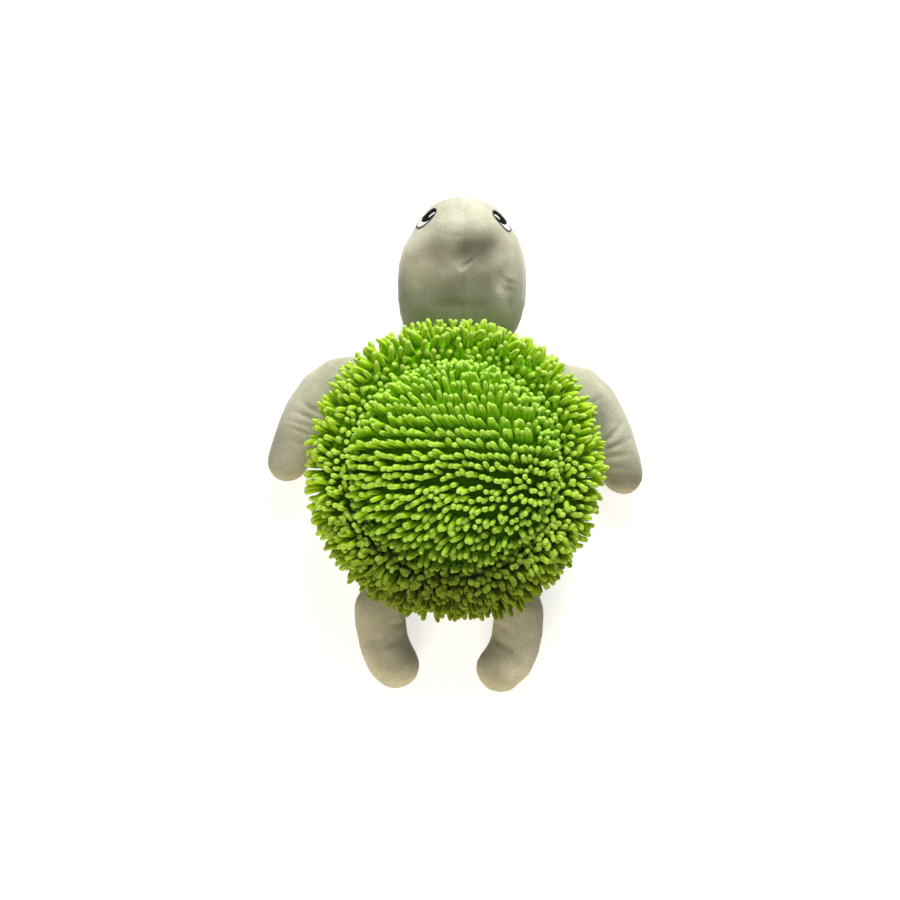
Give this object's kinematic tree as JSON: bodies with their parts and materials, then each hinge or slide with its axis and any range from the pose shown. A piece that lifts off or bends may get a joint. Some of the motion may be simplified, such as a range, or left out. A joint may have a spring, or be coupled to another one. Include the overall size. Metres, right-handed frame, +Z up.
{
  "type": "plush turtle",
  "caption": "Stuffed turtle toy with a domed chenille noodle shell, short plush head and limbs that flex at their sewn seams, and embroidered eyes.",
  "frame": {"origin": "centre of the belly's flat underside, on the plane the toy rests on", "axes": "+Z up out of the shell; -Y towards the nose, +Y towards the tail; +X towards the turtle's left"},
  "size_m": [0.3576, 0.4689, 0.1293],
  "materials": {
    "shell_noodle": "lime green chenille noodle microfibre, soft matt pile",
    "body_plush": "short-napped plush, pale grey-green beige, soft sheen",
    "fibrefill": "white polyester fibrefill, matt and lofty",
    "eye_outline": "dark grey satin-stitch embroidery thread",
    "eye_white": "white satin-stitch embroidery thread",
    "eye_black": "black satin-stitch embroidery thread, slight gloss"
  },
  "bodies": {
    "body": {"belly_panel": "body_plush", "body_stuffing": "fibrefill", "shell_crown": "shell_noodle", "shell_rim": "shell_noodle"},
    "head": {"head_left_panel": "body_plush", "head_right_panel": "body_plush", "head_stuffing": "fibrefill", "left_eye_outline": "eye_outline", "left_eye_white": "eye_white", "left_eye_pupil": "eye_black", "left_eye_highlight": "eye_white", "right_eye_outline": "eye_outline", "right_eye_white": "eye_white", "right_eye_pupil": "eye_black", "right_eye_highlight": "eye_white"},
    "left_flipper": {"left_flipper_top_panel": "body_plush", "left_flipper_bottom_panel": "body_plush", "left_flipper_stuffing": "fibrefill"},
    "right_flipper": {"right_flipper_top_panel": "body_plush", "right_flipper_bottom_panel": "body_plush", "right_flipper_stuffing": "fibrefill"},
    "left_hind_leg": {"left_hind_leg_top_panel": "body_plush", "left_hind_leg_bottom_panel": "body_plush", "left_hind_leg_stuffing": "fibrefill"},
    "right_hind_leg": {"right_hind_leg_top_panel": "body_plush", "right_hind_leg_bottom_panel": "body_plush", "right_hind_leg_stuffing": "fibrefill"}
  },
  "joints": [
    {"name": "head_nod", "type": "hinge", "parent": "body", "child": "head", "pos_m": [0, -0.1312, 0.031], "axis": [-1, 0, 0], "range_deg": [-20, 15], "stiffness_Nm_per_rad": 0.6},
    {"name": "left_flipper_flap", "type": "hinge", "parent": "body", "child": "left_flipper", "pos_m": [0.09865, -0.08727, 0.031], "axis": [-0.3007, -0.9537, 0], "range_deg": [-20, 30], "stiffness_Nm_per_rad": 0.08},
    {"name": "right_flipper_flap", "type": "hinge", "parent": "body", "child": "right_flipper", "pos_m": [-0.09865, -0.08727, 0.031], "axis": [-0.3007, 0.9537, 0], "range_deg": [-20, 30], "stiffness_Nm_per_rad": 0.08},
    {"name": "left_hind_leg_flap", "type": "hinge", "parent": "body", "child": "left_hind_leg", "pos_m": [0.06104, 0.11266, 0.031], "axis": [0.9703, -0.2419, 0], "range_deg": [-30, 30], "stiffness_Nm_per_rad": 0.08},
    {"name": "right_hind_leg_flap", "type": "hinge", "parent": "body", "child": "right_hind_leg", "pos_m": [-0.06104, 0.11266, 0.031], "axis": [0.9703, 0.2419, 0], "range_deg": [-30, 30], "stiffness_Nm_per_rad": 0.08}
  ]
}
